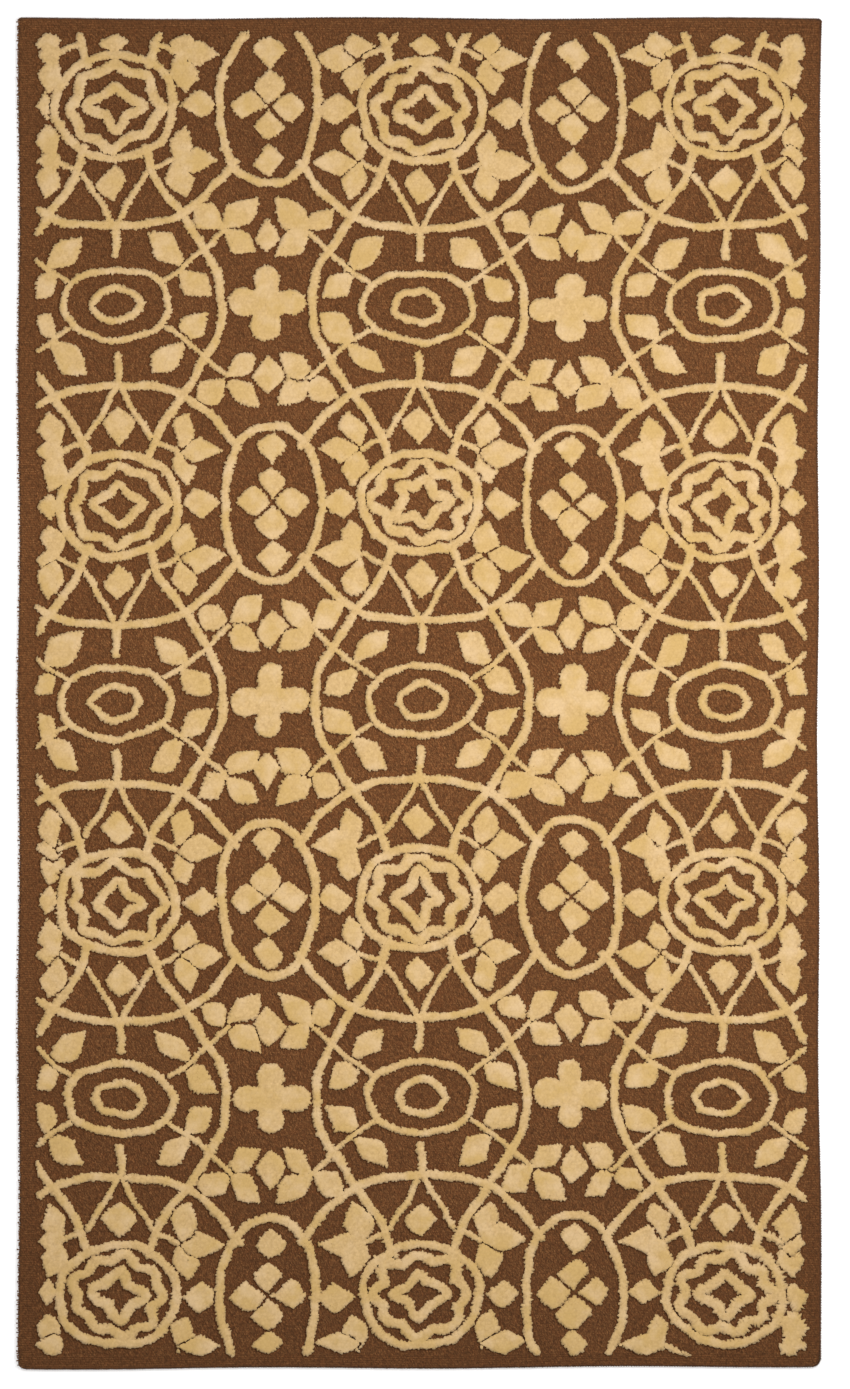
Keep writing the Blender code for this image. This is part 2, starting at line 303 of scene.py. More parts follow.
# %% how the hand strays
RING_GAP = 0.0012
LEAF_GAPS = (0.0007, 0.0026)
RUN_OUT = (0.0010, 0.0055)
SPARES = (-0.0010, 0.0035)
PRESSED = 0.75
BUD = 0.50
STUB = 0.0108
OPEN_END = 1.10
END_ROWS = 0.6

# How far a line strays aside and over what length, and how its width swells: a share and its length.
RING_HAND = {"aside": (0.0010, 0.05), "swell": ((0.09, 0.045), (0.06, 0.012)), "full": (0.86, 1.06)}
LINE_HAND = {"aside": (0.0011, 0.07), "swell": ((0.11, 0.05), (0.07, 0.012))}

LEAF_POINTS = 26
LEAF_BEND = 0.0024
LEAF_TOP = 0.14
LEAF_FULLER = (-0.45, 0.30)
LEAF_WIDER = (0.86, 1.16)
HUMP_POWER = (0.75, 1.10)
LEAF_STRAY = 0.08
TIP_STRAY = 0.002
MERGED_CLUSTERS = 0.25
APART_LEAVES = 0.80

ARM_LENGTH = (0.91, 1.05)
ARM_WIDTH = (0.86, 1.12)
ARM_AXES = (1.03, 0.95)
ARM_TURN = 0.06


# %% rings, leaves and the border
def lobes(turn, kind):
    """A wave of lobes: a cosine at kind 0, clouds |cos| at kind -1, and a star 1 - 2 |sin| at kind 1."""
    shaped = 2 * np.abs(np.cos(turn / 2)) - 1 if kind < 0 else 1 - 2 * np.abs(np.sin(turn / 2))
    return (1 - abs(kind)) * np.cos(turn) + abs(kind) * shaped


def ring_line(half_x, half_y, squareness, few, many, chooser):
    """A closed line: an ellipse with |x|^n + |y|^n = 1, swollen by few and many lobes and by the hand."""
    turn = np.linspace(0, 2 * math.pi, 240, endpoint=False)
    c, s = np.cos(turn), np.sin(turn)
    reach = (np.abs(c) ** squareness + np.abs(s) ** squareness) ** (-1 / squareness)
    late = turn + chooser.uniform(-0.12, 0.12) * np.sin(turn + chooser.uniform(0, 6.28))
    reach *= 1 + few * lobes(chooser.choice((4, 4, 4, 5)) * late, chooser.uniform(0.2, 0.8))
    reach *= 1 + many * lobes(chooser.choice((8, 8, 9)) * late, chooser.uniform(-0.8, 0.7))
    uneven = 0.014 + 0.16 * (few + many)
    reach *= 1 + uneven * sum(np.cos(k * turn + chooser.uniform(0, 6.28)) for k in (2, 3, 5))
    return evenly(np.stack([half_x * reach * c, half_y * reach * s], axis=1), FINE, closed=True)


def leaf_outline(run, half_width, widest, fullness, chooser):
    """A leaf from (0, 0) along run. At share t its half width is a mix of a tent and a sine hump.

    The sine hump is sin(pi t^k) to a chance power, and k puts its top at the widest share. The tent
    rises straight to the same share and falls straight to the tip.
    """
    t = (1 - np.cos(np.linspace(0, math.pi, LEAF_POINTS))) / 2
    ahead = np.asarray(run, float)
    aside = np.array([-ahead[1], ahead[0]]) / np.linalg.norm(ahead)
    bend = chooser.uniform(-LEAF_BEND, LEAF_BEND) * np.sin(math.pi * t)
    sides = []
    for side in (1, -1):
        top = min(0.72, max(0.30, widest + chooser.uniform(-LEAF_TOP, LEAF_TOP)))
        full = fullness + chooser.uniform(*LEAF_FULLER)
        hump = np.sin(math.pi * t ** (math.log(0.5) / math.log(top))) ** chooser.uniform(*HUMP_POWER)
        tent = np.minimum(t / top, (1 - t) / (1 - top))
        wide = half_width * chooser.uniform(*LEAF_WIDER) * (full * hump + (1 - full) * tent)
        sides.append(t[:, None] * ahead + (side * wide + bend)[:, None] * aside)
    return np.vstack([sides[1], sides[0][-2:0:-1]])


def by_hand(line, width, closed, chooser, aside, swell, full=None):
    """The line with the hand's wobble, and its half width at each point."""
    stray, length = aside
    strayed = line + stray * wobble(len(line), FINE, length, chooser)[:, None] * sideways(line, closed)
    share = chooser.uniform(*full) if full else 1
    for swells, length in swell:
        share = share + swells * wobble(len(line), FINE, length, chooser)
    return strayed, width / 2 * share


def run_out(line, half):
    """A line's half width where it reaches the border: it tapers to nothing a little beyond it."""
    return half * np.clip((within_border(line) + RUN_OUT[0]) / RUN_OUT[1], 0, 1) ** 0.5


def squeezed(loop, spare):
    """A shape pressed together where it would cross the border, and what share of its size is left.

    Along each axis its outer end comes in to the border less the spare, and the share PRESSED of what
    is over is pressed out. The inner end gives way to the rest.
    """
    offset = loop - DRAWING_MIDDLE
    side = np.sign(offset.mean(axis=0))
    inner, outer = (offset * side).min(axis=0), (offset * side).max(axis=0)
    over = np.maximum(0, outer - (DRAWING_HALF - spare))
    share = 1 - PRESSED * over / (outer - inner)
    return DRAWING_MIDDLE + side * (outer - over + (offset * side - outer) * share), share.min()


# %% every stroke
strokes = []
for number, (motif, piece, half_x, half_y, width, squareness, few, many) in enumerate(RINGS):
    for cell, centre in motif_centres(motif):
        chooser = hand("ring", number, cell)
        loose = 0.02 + 0.4 * few
        size_x, size_y = (half * (1 + chooser.uniform(-loose, loose)) for half in (half_x, half_y))
        line = ring_line(size_x, size_y, squareness, few * chooser.uniform(0.75, 1.25),
                         many * chooser.uniform(0.6, 1.4), chooser)
        if motif == "tall_oval" and abs(centre[1]) > END_ROWS:
            line[line[:, 1] * centre[1] > 0, 1] *= OPEN_END
        line, half = by_hand(drawn(line, (1, 1), centre), width, True, chooser, **RING_HAND)
        if within_border(line).max() > 0:
            gap = RING_GAP if number == 1 and chooser.random() < 0.7 else 0
            strokes.append((piece, line, run_out(line, half), gap))

for number, (motif, crosses, width, quarter) in enumerate(LINES):
    line = np.array(quarter)
    signs = quarters(line)
    if crosses == "Y":
        line, signs = np.vstack([(line * (-1, 1))[:0:-1], line]), [(1, 1), (1, -1)]
    elif crosses == "X":
        line, signs = np.vstack([(line * (1, -1))[:0:-1], line]), [(1, 1), (-1, 1)]
    for cell, centre in motif_centres(motif):
        for sign in signs:
            chooser = hand("line", number, cell, sign)
            path, half = by_hand(smooth(drawn(line, sign, centre)), width, False, chooser, **LINE_HAND)
            if crosses == "Y" and within_border(path[len(path) // 2]) < 0:
                continue
            if within_border(path).max() > STUB:
                strokes.append(("trellis", path, run_out(path, half), 0))

# %% every patch
patches = []
for number, (motif, piece, root_x, root_y, tip_x, tip_y, half_width, widest, fullness) in enumerate(LEAVES):
    root, tip = np.array([root_x, root_y]), np.array([tip_x, tip_y])
    for cell, centre in motif_centres(motif):
        for sign in quarters(np.array([root, tip])):
            size = 1 + hand(number, cell, sign).uniform(-LEAF_STRAY, LEAF_STRAY)
            chooser = hand("leaf", number, cell, sign)
            merged = hand("gaps", motif, cell, sign).random() <= MERGED_CLUSTERS
            apart = not merged and chooser.random() < APART_LEAVES
            gap = chooser.uniform(*LEAF_GAPS) if apart else 0
            run = (tip - root) * size + [chooser.uniform(-TIP_STRAY, TIP_STRAY) for _ in "xy"]
            loop = root + leaf_outline(run, half_width * size, widest, fullness, chooser)
            loop = drawn(loop, sign, centre)
            loop, share = squeezed(loop, chooser.uniform(*SPARES))
            if share > BUD:
                patches.append((piece, evenly(loop, FINEST, closed=True), gap))

for cell, centre in motif_centres("cross"):
    chooser = hand("cross", cell)
    arms = []
    for quarter_turn in range(4):
        longer, wider = chooser.uniform(*ARM_LENGTH), chooser.uniform(*ARM_WIDTH)
        along, aside = (np.array(CROSS_ARM) * (longer * ARM_AXES[quarter_turn % 2], wider)).T
        turn = quarter_turn * math.pi / 2 + chooser.uniform(-ARM_TURN, ARM_TURN)
        arms.append(np.stack([along * math.cos(turn) - aside * math.sin(turn),
                              along * math.sin(turn) + aside * math.cos(turn)], axis=1))
    loop = drawn(np.vstack(arms), (1, 1), centre)
    if within_border(loop.mean(axis=0)) > 0:
        patches.append(("sprig", smooth(loop, closed=True, step=FINEST), LEAF_GAPS[0]))

print(len(strokes), "strokes and", len(patches), "patches")

# %% [markdown]
# ## The map of the drawing
#
# Tufts must know how deep inside the drawing they stand, or how far outside it. A map answers that
# for the whole rug: a fine grid that holds, in each cell, the distance to the nearest edge of the
# drawing, positive inside. A stroke is the union of discs along its line, so its distance is the
# greatest of radius minus distance to each centre. A patch counts crossings to tell in from out.

# %% the map
CELL = 0.0006
MAP_HALF = RUG_HALF + 0.01
FAR = 0.0080
BORDER_WAVE = 0.0007
CUT_ROUND = 0.0014
PIECES = ("rosette", "oval", "trellis", "leaf", "petal", "sprig")


def inside(points, loop):
    """Whether each point is in the loop: a ray to the right crosses the loop an odd number of times."""
    ax, ay = loop[:, 0], loop[:, 1]
    bx, by = np.roll(ax, -1), np.roll(ay, -1)
    x, y = points[:, :1], points[:, 1:]
    spans = (ay > y) != (by > y)
    rise = np.where(by == ay, 1, by - ay)
    return ((spans & (x < ax + (y - ay) * (bx - ax) / rise)).sum(axis=1) % 2).astype(bool)


class DrawingMap:
    """The distance from each cell to the drawing's edge, positive inside, and the piece it belongs to."""

    def __init__(self):
        count = (2 * MAP_HALF / CELL).astype(int)
        self.depth = np.full(count[::-1], -FAR, np.float32)
        self.owner = np.zeros(count[::-1], np.int8)

    def window(self, points, reach):
        """The part of the map round some points: its slices and the places of its cells."""
        size = np.array(self.depth.shape[::-1])
        low = ((points.min(axis=0) - reach + MAP_HALF) / CELL).astype(int).clip(0, size)
        high = ((points.max(axis=0) + reach + MAP_HALF) / CELL).astype(int).clip(0, size)
        x, y = ((np.arange(a, b) + 0.5) * CELL - half for a, b, half in zip(low, high, MAP_HALF))
        cells = np.stack(np.meshgrid(x, y), axis=2)
        return (slice(low[1], high[1]), slice(low[0], high[0])), cells

    def join(self, part, cells, depth, piece, gap):
        """Join a shape to the map. With a gap, the shape first keeps that far from what is drawn."""
        held = self.depth[part]
        if gap:
            uneven = 1.0 + 0.9 * drift_over(cells.reshape(-1, 2), 240, 9).reshape(held.shape)
            depth = np.minimum(depth, -held - gap * uneven)
        deeper = depth > held
        held[deeper] = depth[deeper]
        self.owner[part][deeper] = PIECES.index(piece)

    def add_stroke(self, piece, line, half, gap):
        """A stroke is a union of discs: the depth is the greatest of radius - distance to a centre."""
        reach = half.max() + FAR / 2
        part, cells = self.window(line, reach)
        if not cells.size:
            return
        depth = np.full(cells.shape[:2], -FAR, np.float32)
        for start in range(0, len(line), 12):
            centres, radii = line[start:start + 13], half[start:start + 13]
            low = ((centres.min(axis=0) - reach - cells[0, 0]) / CELL).astype(int).clip(0)
            high = ((centres.max(axis=0) + reach - cells[0, 0]) / CELL).astype(int).clip(0)
            near = cells[low[1]:high[1], low[0]:high[0]]
            away = np.linalg.norm(near[:, :, None] - centres, axis=3)
            held = depth[low[1]:high[1], low[0]:high[0]]
            np.maximum(held, (radii - away).max(axis=2), out=held)
        self.join(part, cells, depth, piece, gap)

    def add_patch(self, piece, loop, gap):
        """A patch: the distance to its outline, positive inside."""
        part, cells = self.window(loop, FAR / 2)
        if not cells.size:
            return
        flat = cells.reshape(-1, 2)
        away = np.linalg.norm(flat[:, None] - loop, axis=2).min(axis=1)
        depth = np.where(inside(flat, loop), away, -away).reshape(cells.shape[:2])
        self.join(part, cells, depth, piece, gap)

    def places(self):
        """The x of each column of cells and the y of each row."""
        return ((np.arange(n) + 0.5) * CELL - half for n, half in zip(self.depth.shape[::-1], MAP_HALF))

    def cut(self):
        """Cut the drawing off at the border, unevenly, and round the corners that this leaves.

        Of two depths a and b the rounded lesser one is -k ln(e^(-a / k) + e^(-b / k)).
        """
        x, y = self.places()
        uneven_x, uneven_y = (BORDER_WAVE * np.sin(170 * run + 2 * np.sin(43 * run)) for run in (x, y))
        room_x, room_y = (half - np.abs(run - middle) for half, run, middle
                          in zip(DRAWING_HALF, (x, y), DRAWING_MIDDLE))
        room = np.minimum(room_x + uneven_y[:, None], room_y[:, None] + uneven_x).astype(np.float32)
        self.depth = -CUT_ROUND * np.logaddexp(-self.depth / CUT_ROUND, -room / CUT_ROUND)

    def cell(self, points):
        """The row and column of the cell that each point is in."""
        at = ((points + MAP_HALF) / CELL).astype(int).clip(0, np.array(self.depth.shape[::-1]) - 1)
        return at[..., 1], at[..., 0]

    def at(self, points):
        """The depth at each point."""
        return self.depth[self.cell(points)]


drawing = DrawingMap()
for piece, line, half, gap in strokes:
    drawing.add_stroke(piece, line, half, gap)
for piece, loop, gap in patches:
    drawing.add_patch(piece, loop, gap)
drawing.cut()
print("the drawing covers", round(float((drawing.depth > 0).sum()) * CELL**2, 3), "square metres")

# %% [markdown]
# ## Teeth, outlines and filling
#
# A hooker outlines a shape first and then fills it. So a row of caps stands just inside each edge, and
# what is left inside gets caps in a close, slightly disturbed packing. On the edge itself stand the
# teeth: narrow tufts that splay outwards and make the edge of a hooked shape rough. Both rows are
# picked from the map by lot: of the cells at the wanted depth, one is picked where its lot is the
# highest within a few cells. So the tufts stand unevenly, but never too close. A second lot fills the
# gaps that the first leaves between the teeth.

# %% where the cream tufts stand
ROW_INSET = 0.0025
TOOTH_LOT = 3
TOOTH_ROOM = 0.0025
ROW_LOT = 2
ROOM_AHEAD = 0.0013
CLEAR = -0.0004
FILL_STEP = 0.0036
FILL_ROW = 0.0031
FILL_STRAY = 0.0005
FILL_DEPTH = 0.0018
TAKEN = 0.0025
COVERED = 0.0026

chance = np.random.default_rng(20)


def placed(cells):
    """The place of each cell's middle, from its column and row."""
    return (cells + 0.5) * CELL - MAP_HALF


def stamped(points, radius):
    """The cells of the map that lie within a radius of any of the points."""
    side = np.arange(-5, 6) * CELL
    stamp = np.stack(np.meshgrid(side, side), axis=2).reshape(-1, 2)
    stamp = stamp[np.linalg.norm(stamp, axis=1) < radius]
    marked = np.zeros(drawing.depth.shape, bool)
    marked[drawing.cell(points[:, None] + stamp)] = True
    return marked


def staggered(x, y, step):
    """Spots in rows at each y, every other row set over by half a step."""
    spot_x, spot_y = np.meshgrid(x, y)
    spot_x = spot_x + np.where(np.arange(len(y)) % 2, 0.25, -0.25)[:, None] * step
    return np.stack([spot_x, spot_y], axis=2).reshape(-1, 2)


def scattered(depth, reach, taken=False):
    """Cells at about that depth of the drawing and not taken, picked by lot, more than reach apart."""
    marked = (np.abs(drawing.depth - depth) < CELL / 2) & ~np.asarray(taken)
    lot = np.where(marked, chance.random(marked.shape, np.float32), 0)
    highest = lot
    for axis in (0, 1):
        highest = np.max([np.roll(highest, shift, axis) for shift in range(-reach, reach + 1)], axis=0)
    rows, columns = np.nonzero(marked & (lot == highest))
    return np.stack([columns, rows], axis=1)


slope_y, slope_x = np.gradient(drawing.depth)
edge_cells = scattered(0.0, TOOTH_LOT)
beside_teeth = stamped(placed(edge_cells), TOOTH_ROOM)
edge_cells = np.concatenate([edge_cells, scattered(0.0, TOOTH_LOT, beside_teeth)])
outward = unit(-np.stack([slope_x, slope_y], axis=2)[edge_cells[:, 1], edge_cells[:, 0]])
edge_places = placed(edge_cells)
free = drawing.at(edge_places + ROOM_AHEAD * outward) < CLEAR
owners = drawing.owner[edge_cells[:, 1], edge_cells[:, 0]]
teeth = np.column_stack([edge_places, outward, owners])[free]
caps = placed(scattered(ROW_INSET, ROW_LOT))

# %% filling
fill_x, fill_y = (np.arange(-half, half, step) for half, step in zip(DRAWING_HALF, (FILL_STEP, FILL_ROW)))
fill = staggered(fill_x, fill_y, FILL_STEP)
fill += chance.uniform(-FILL_STRAY, FILL_STRAY, fill.shape)
fill = fill[(drawing.at(fill) > FILL_DEPTH) & ~stamped(caps, TAKEN)[drawing.cell(fill)]]
caps = np.concatenate([caps, fill])
print(len(teeth), "teeth and", len(caps), "caps, of which", len(fill), "fill the shapes")

# What is still bare gets one more cap for each small square of bare cloth.
for square in (8, 6, 4):
    bare_y, bare_x = np.nonzero((drawing.depth > FILL_DEPTH) & ~stamped(caps, COVERED))
    squares = (bare_y // square) * drawing.depth.shape[1] + bare_x // square
    first = np.unique(squares, return_index=True)[1]
    more = placed(np.stack([bare_x, bare_y], axis=1)[first])
    caps = np.concatenate([caps, more])
    print(len(more), "more caps on bare spots")

# %% [markdown]
# ## The shape of a tuft
#
# A cream cap is a soft five-sided cone, its rim only a little below its tip. The caps overlap, so the
# pile closes over the cloth like plush, and it falls away in a round shoulder near the edge of a shape:
# the map's depth says how far. A tooth is a blunt tongue that reaches out over the edge, with sides
# that go down to the ground. Most are short, but in one worn corner they are long and loose. All
# tufts of a piece are one mesh, worked out as whole arrays.

# %% the sizes of a cap and a tooth
PILE_TOP = DRAWING_TOP + 0.0002
SHOULDER = 0.0011
SHOULDER_WIDTH = 0.0036

CAP_SIDES = 5
CAP_RADIUS = 0.0032
CAP_UNEVEN = (0.90, 1.12)
CAP_LEAST = 0.35
CAP_LIFT = 0.00025
RIM_DROP = 0.00030

TOOTH_REACH = 0.0034
TOOTH_LEAST = 0.0003
TOOTH_HALF_WIDTH = (0.0016, 0.0032)
TOOTH_BLUNT = (0.15, 0.75)
TOOTH_SLANT = 0.0008
TOOTH_DROPS = {"crest": 0.0003, "side": 0.0008, "tip": (0.0010, 0.0017)}
CREST_BACK = 0.0024
SIDE_BACK = 0.0011
FOOT_BACK = 0.0006
FOOT_HEIGHT = GROUND_TOP - 0.0016
TOOTH_FACES = ((0, 2, 1), (0, 3, 2), (0, 4, 3),
               (1, 2, 6), (1, 6, 5), (2, 3, 7), (2, 7, 6), (3, 4, 8), (3, 8, 7))
TOOTH_ROOTS = (0.0, 0.2, 0.35, 0.35, 0.2, 1, 1, 1, 1)
WORN_CORNER = (0.430, -0.690)
WORN_REACH = 0.130

# %% meshes of many tufts
MAP_SPAN = RUG_LENGTH + 0.02


def flat_uv(places):
    """Where a place on the rug lies on its square map, seen from above."""
    return places / MAP_SPAN + 0.5


def put(name, data):
    """A new object in the scene."""
    made = bpy.data.objects.new(name, data)
    bpy.context.scene.collection.objects.link(made)
    return made


def carry(mesh, numbers):
    """Give the mesh numbers for each corner, which its material reads."""
    for label, values in numbers.items():
        mesh.attributes.new(label, "FLOAT", "POINT").data.foreach_set("value", values.astype(np.float32))


def plain_piece(name, corners, faces, material):
    """One mesh object from a list of faces of any size."""
    mesh = bpy.data.meshes.new(name)
    mesh.from_pydata(corners, [], faces)
    mesh.materials.append(material)
    print(name, len(faces), "faces")
    return put(name, mesh)


def tuft_piece(name, corners, faces, numbers, spots, material):
    """One mesh object from arrays: corners, faces, numbers for each corner, and its spot on the map."""
    mesh = bpy.data.meshes.new(name)
    mesh.vertices.add(len(corners))
    mesh.vertices.foreach_set("co", corners.astype(np.float32).ravel())
    size = faces.shape[1]
    mesh.loops.add(faces.size)
    mesh.loops.foreach_set("vertex_index", faces.astype(np.int32).ravel())
    mesh.polygons.add(len(faces))
    mesh.polygons.foreach_set("loop_start", np.arange(0, faces.size, size, dtype=np.int32))
    mesh.polygons.foreach_set("use_smooth", np.ones(len(faces), bool))
    mesh.update(calc_edges=True)
    carry(mesh, numbers)
    on_map = spots[faces.ravel()].astype(np.float32)
    mesh.uv_layers.new(name="OFBake").data.foreach_set("uv", on_map.ravel())
    mesh.materials.append(material)
    mesh.validate()
    print(name, len(faces) * (size - 2), "triangles")
    return put(name, mesh)


def shoulder(depth):
    """How far the pile has fallen at that depth: SHOULDER (1 - depth / width)^2, and none further in."""
    return SHOULDER * (1 - np.clip(depth / SHOULDER_WIDTH, 0, 1)) ** 2


def fan(count, sides):
    """Triangles from a tip to the rim round it, for tufts with that many sides, one after the other."""
    one = np.array([[0, k + 1, (k + 1) % sides + 1] for k in range(sides)])
    return (np.arange(count)[:, None, None] * (sides + 1) + one).reshape(-1, 3)


def cap_arrays(place):
    """Caps: corner k is centre + radius (cos k, sin k), drawn in where it would pass the shape's edge."""
    count = len(place)
    turn = chance.uniform(0, 6.28, count)[:, None] + np.arange(CAP_SIDES) * 2 * math.pi / CAP_SIDES
    radius = CAP_RADIUS * chance.uniform(*CAP_UNEVEN, (count, CAP_SIDES))
    arm = radius[..., None] * np.stack([np.cos(turn), np.sin(turn)], axis=2)
    here, there = drawing.at(place)[:, None], drawing.at(place[:, None] + arm)
    arm = arm * np.clip(here / np.maximum(here - there, 1e-5), CAP_LEAST, 1)[..., None]
    rim = place[:, None] + arm
    top = PILE_TOP + chance.uniform(-CAP_LIFT, CAP_LIFT, count)
    tip_z = top - shoulder(here[:, 0])
    drop = RIM_DROP * chance.uniform(0.5, 1.5, (count, CAP_SIDES))
    rim_z = top[:, None] - shoulder(drawing.at(rim)) - drop
    corners = np.concatenate([np.column_stack([place, tip_z])[:, None],
                              np.concatenate([rim, rim_z[..., None]], axis=2)], axis=1)
    spots = np.concatenate([place[:, None], place[:, None] + arm * 0.5], axis=1)
    root = np.tile([0.0, *[0.25] * CAP_SIDES], count)
    tuft = np.repeat(chance.random(count), CAP_SIDES + 1)
    return corners.reshape(-1, 3), fan(count, CAP_SIDES), root, spots.reshape(-1, 2), tuft


def tooth_arrays(teeth):
    """Teeth: a crest, then left, two tips and right round it, and a foot below each of those four.

    The reach is a chance from mostly short to long, more where the edge faces sideways or is worn.
    """
    count = len(teeth)
    place, out = teeth[:, :2], teeth[:, 2:4]
    left = np.stack([-out[:, 1], out[:, 0]], axis=1)
    worn = np.clip(1 - np.linalg.norm(place - WORN_CORNER, axis=1) / WORN_REACH, 0, 1)
    more = 0.65 + 0.35 * np.abs(out[:, 0]) + 1.4 * worn
    reach = chance.beta(0.9, 2.1, count) * TOOTH_REACH * more + TOOTH_LEAST
    wide = chance.uniform(*TOOTH_HALF_WIDTH, count)
    blunt = wide * chance.uniform(*TOOTH_BLUNT, count)
    aslant = chance.uniform(-TOOTH_SLANT, TOOTH_SLANT, count)
    shorter = reach * chance.uniform(0.4, 1.0, count)
    low = chance.uniform(*TOOTH_DROPS["tip"], count)
    level = np.ones(count)
    crest, side = level * TOOTH_DROPS["crest"], level * TOOTH_DROPS["side"]
    heights = PILE_TOP - np.stack([crest, side, low, low, side], axis=1)
    along = np.stack([-CREST_BACK * level, -SIDE_BACK * level, reach, shorter, -SIDE_BACK * level], axis=1)
    aside = np.stack([0 * wide, wide, aslant + blunt, aslant - blunt, -wide], axis=1)
    flat = place[:, None] + along[..., None] * out[:, None] + aside[..., None] * left[:, None]
    upper = np.concatenate([flat, heights[..., None]], axis=2)
    foot = flat[:, 1:] - FOOT_BACK * out[:, None]
    lower = np.concatenate([foot, np.full((count, 4, 1), FOOT_HEIGHT)], axis=2)
    corners = np.concatenate([upper, lower], axis=1)
    spots = np.concatenate([place[:, None] + (flat - place[:, None]) * 0.5,
                            place[:, None] + (foot - place[:, None]) * 0.7 + 0.0004 * out[:, None]], axis=1)
    parts = len(TOOTH_ROOTS)
    faces = (np.arange(count)[:, None, None] * parts + np.array(TOOTH_FACES)).reshape(-1, 3)
    root = np.tile(TOOTH_ROOTS, count)
    tuft = np.repeat(chance.random(count), parts)
    return corners.reshape(-1, 3), faces, root, spots.reshape(-1, 2), tuft


def cream_mesh(name, caps, teeth, material):
    """One piece of the drawing: its caps and its teeth."""
    cap, tooth = cap_arrays(caps), tooth_arrays(teeth)
    corners, root, spots, tuft = (np.concatenate([cap[k], tooth[k]]) for k in (0, 2, 3, 4))
    faces = np.concatenate([cap[1], tooth[1] + len(cap[0])])
    return tuft_piece(name, corners - (*MIDDLE, 0), faces, {"tuft": tuft, "root": root},
                      flat_uv(spots - MIDDLE), material)


def wedge_mesh(name, place, axis, along, sizes, material):
    """Brown tufts as three-sided wedges: tip = place + axis * height, over a long three-cornered rim."""
    count = len(place)
    long, wide, height = (size[:, None] for size in sizes)
    across = np.cross(axis, along)
    back = place - along * long * 0.8
    corners = np.stack([place + axis * height, place + along * long, back + across * wide,
                        back - across * wide], axis=1)
    middle = place[:, None, :2]
    spots = np.concatenate([middle, middle + (corners[:, 1:, :2] - middle) * 0.45], axis=1)
    numbers = {"tuft": np.repeat(chance.random(count), 4), "root": np.tile([0.0, 1, 1, 1], count)}
    return tuft_piece(name, corners.reshape(-1, 3), fan(count, 3), numbers, flat_uv(spots.reshape(-1, 2)),
                      material)


# %% [markdown]
# ## Shader sums
#
# A material is a graph of nodes. Written as nodes it is long and hard to read, so one small class
# stands for a socket and lets ordinary sums add the Math nodes, and one method adds any other node.

# %% a paint box
class Wire:
    """A socket that takes part in sums: each sum adds a Math node to its material."""

    def __init__(self, paint, socket):
        self.paint, self.socket = paint, socket

    def maths(self, operation, *values):
        return self.paint.node("ShaderNodeMath", {"operation": operation}, dict(enumerate(values)))

    def __add__(self, other):
        return self.maths("ADD", self, other)

    def __radd__(self, other):
        return self.maths("ADD", other, self)

    def __sub__(self, other):
        return self.maths("SUBTRACT", self, other)

    def __rsub__(self, other):
        return self.maths("SUBTRACT", other, self)

    def __mul__(self, other):
        return self.maths("MULTIPLY", self, other)

    def __rmul__(self, other):
        return self.maths("MULTIPLY", other, self)


class Paint:
    """A material in the making."""

    def __init__(self, name, roughness, **constants):
        self.material = bpy.data.materials.new(name)
        self.material.use_nodes = True
        self.tree = self.material.node_tree
        self.shader = self.tree.nodes["Principled BSDF"]
        self.shader.inputs["Roughness"].default_value = roughness
        for label, value in constants.items():
            self.shader.inputs[label.replace("_", " ")].default_value = value
        self.place = self.node("ShaderNodeTexCoord", output="Object")

    def node(self, kind, settings=None, inputs=None, output=0):
        """Any node: its settings first, then the values or wires of its sockets. Gives one output."""
        made = self.tree.nodes.new(kind)
        for label, value in (settings or {}).items():
            setattr(made, label, value)
        for key, value in (inputs or {}).items():
            self.feed(made.inputs[key], value)
        return Wire(self, made.outputs[output])

    def feed(self, socket, value):
        if isinstance(value, Wire):
            self.tree.links.new(value.socket, socket)
        else:
            socket.default_value = value

    def noise(self, scale, detail=2.0, long=1.0, turn=0.0, shift=(0, 0, 0)):
        """Cloudy noise on the rug's own coordinates, from 0 to 1, drawn out along one direction."""
        place = self.node("ShaderNodeMapping", {"vector_type": "TEXTURE"}, {
            "Vector": self.place, "Location": shift, "Rotation": (0, 0, turn), "Scale": (long, 1, 1)})
        return self.node("ShaderNodeTexNoise", {}, {"Vector": place, "Scale": scale, "Detail": detail})

    def number(self, label):
        """A number that the mesh carries at each corner."""
        return self.node("ShaderNodeAttribute", {"attribute_name": label}, output="Fac")

    def mix(self, factor, first, second):
        """A colour between two colours."""
        ends = [(*end, 1.0) if isinstance(end, tuple) else end for end in (first, second)]
        return self.node("ShaderNodeMix", {"data_type": "RGBA", "clamp_factor": True},
                         {0: factor, 6: ends[0], 7: ends[1]}, output=2)

    def spread(self, value, low, high):
        """A value from low to high as 0 to 1, cut off at both."""
        return self.node("ShaderNodeMapRange", {"clamp": True}, {0: value, 1: low, 2: high})

    def bump(self, height, distance, strength=1.0):
        self.feed(self.shader.inputs["Normal"], self.node(
            "ShaderNodeBump", {}, {"Height": height, "Distance": distance, "Strength": strength}))

    def colour(self, wire):
        self.feed(self.shader.inputs["Base Color"], wire)


# %% [markdown]
# ## The wools and the cloth
#
# Wool is matt with a faint soft sheen. No two tufts take dye alike, so each tuft's own chance number
# moves its colour, a broad noise makes the dye lots drift over the rug, and the colour darkens
# towards the root, where light does not reach. Fine noise drawn out along the pile is the fibre.

